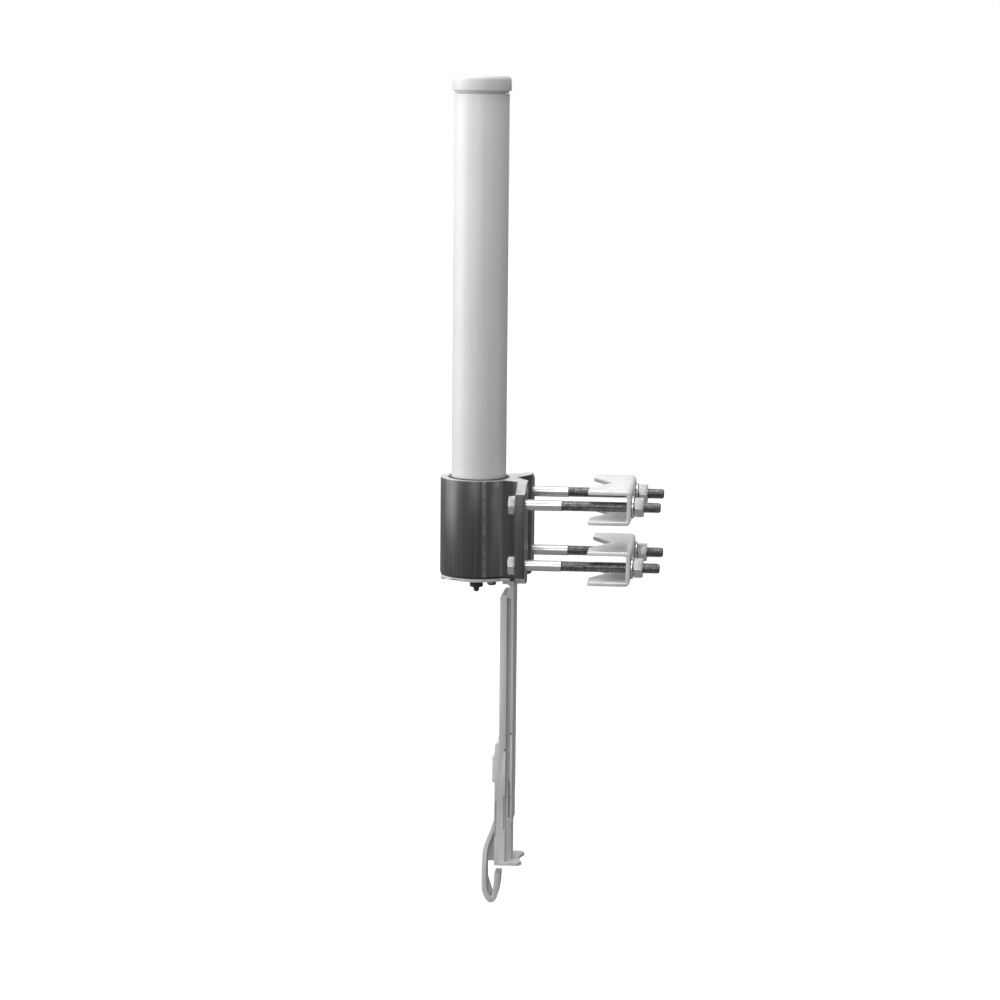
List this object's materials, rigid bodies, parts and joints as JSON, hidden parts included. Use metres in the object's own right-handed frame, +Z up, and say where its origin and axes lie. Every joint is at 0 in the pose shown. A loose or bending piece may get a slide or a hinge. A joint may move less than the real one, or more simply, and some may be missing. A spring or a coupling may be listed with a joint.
{
  "type": "omnidirectional antenna",
  "caption": "Pole-mounted outdoor antenna: a radome tube on an extruded base, channel vee clamps on long bolts, and a radio mounting arm with a release lever.",
  "frame": {"origin": "on the axis of the pole, midway between the two rows of clamp bolts", "axes": "+Z up along the radome and the pole, +X from the antenna through the pole to the nuts, +Y completes a right-handed frame"},
  "size_m": [0.1626, 0.09, 0.6099],
  "materials": {
    "radome": "satin off-white",
    "extrusion": "dark anodised, with bright cut ends",
    "zinc_steel": "bright zinc",
    "moulding": "light grey, moulded",
    "cover": "pale grey, moulded",
    "rubber": "black matt",
    "connector_metal": "plated",
    "circuit_board": "printed board",
    "foam": "closed-cell foam",
    "coax_jacket": "plastic jacket"
  },
  "bodies": {
    "base": {"base_housing": "extrusion", "radome_tube": "radome", "radome_cap": "radome", "radome_seal": "rubber", "bottom_gasket": "rubber", "bottom_cover": "cover", "connector_left": "connector_metal", "connector_right": "connector_metal", "connector_nut_left": "connector_metal", "connector_nut_right": "connector_metal", "coax_left": "coax_jacket", "coax_right": "coax_jacket", "vertical_pol_board": "circuit_board", "horizontal_pol_board": "circuit_board", "foam_spacer_lower": "foam", "foam_spacer_middle": "foam", "foam_spacer_upper": "foam", "cover_screw_1": "zinc_steel", "cover_screw_2": "zinc_steel", "cover_screw_3": "zinc_steel", "arm_screw_left": "zinc_steel", "arm_screw_right": "zinc_steel", "mount_arm": "moulding", "lever_pin": "zinc_steel", "hex_bolt_upper_left": "zinc_steel", "hex_bolt_upper_right": "zinc_steel", "hex_bolt_lower_left": "zinc_steel", "hex_bolt_lower_right": "zinc_steel"},
    "upper_clamp": {"upper_clamp": "zinc_steel", "washer_upper_left": "zinc_steel", "washer_upper_right": "zinc_steel"},
    "lower_clamp": {"lower_clamp": "zinc_steel", "washer_lower_left": "zinc_steel", "washer_lower_right": "zinc_steel"},
    "lever": {"release_lever": "moulding"},
    "dust_cap_left": {"dust_cap_left": "rubber"},
    "dust_cap_right": {"dust_cap_right": "rubber"},
    "nut_upper_left": {"nut_upper_left": "zinc_steel"},
    "nut_upper_right": {"nut_upper_right": "zinc_steel"},
    "nut_lower_left": {"nut_lower_left": "zinc_steel"},
    "nut_lower_right": {"nut_lower_right": "zinc_steel"}
  },
  "joints": [
    {"name": "upper_clamp_slide", "type": "slide", "parent": "base", "child": "upper_clamp", "axis": [1, 0, 0], "range_m": [-0.035, 0.01]},
    {"name": "nut_upper_left_turn", "type": "hinge", "parent": "upper_clamp", "child": "nut_upper_left", "pos_m": [0.0562, 0.036, 0.022], "axis": [1, 0, 0], "range_deg": [-10081, 2881]},
    {"name": "nut_upper_right_turn", "type": "hinge", "parent": "upper_clamp", "child": "nut_upper_right", "pos_m": [0.0562, -0.036, 0.022], "axis": [1, 0, 0], "range_deg": [-10081, 2881]},
    {"name": "lower_clamp_slide", "type": "slide", "parent": "base", "child": "lower_clamp", "axis": [1, 0, 0], "range_m": [-0.035, 0.01]},
    {"name": "nut_lower_left_turn", "type": "hinge", "parent": "lower_clamp", "child": "nut_lower_left", "pos_m": [0.0562, 0.036, -0.022], "axis": [1, 0, 0], "range_deg": [-10081, 2881]},
    {"name": "nut_lower_right_turn", "type": "hinge", "parent": "lower_clamp", "child": "nut_lower_right", "pos_m": [0.0562, -0.036, -0.022], "axis": [1, 0, 0], "range_deg": [-10081, 2881]},
    {"name": "lever_hinge", "type": "hinge", "parent": "base", "child": "lever", "pos_m": [-0.0458, 0, -0.198], "axis": [0, 1, 0], "range_deg": [0, 6], "stiffness_Nm_per_rad": 4, "springref_deg": -2.86},
    {"name": "dust_cap_left_pull", "type": "slide", "parent": "base", "child": "dust_cap_left", "axis": [0, 0, -1], "range_m": [0, 0.012]},
    {"name": "dust_cap_right_pull", "type": "slide", "parent": "base", "child": "dust_cap_right", "axis": [0, 0, -1], "range_m": [0, 0.012]}
  ],
  "couplings": [
    {"joint": "nut_upper_left_turn", "follows": "upper_clamp_slide", "rad_per_m": 5026.5},
    {"joint": "nut_upper_right_turn", "follows": "upper_clamp_slide", "rad_per_m": 5026.5},
    {"joint": "nut_lower_left_turn", "follows": "lower_clamp_slide", "rad_per_m": 5026.5},
    {"joint": "nut_lower_right_turn", "follows": "lower_clamp_slide", "rad_per_m": 5026.5}
  ]
}
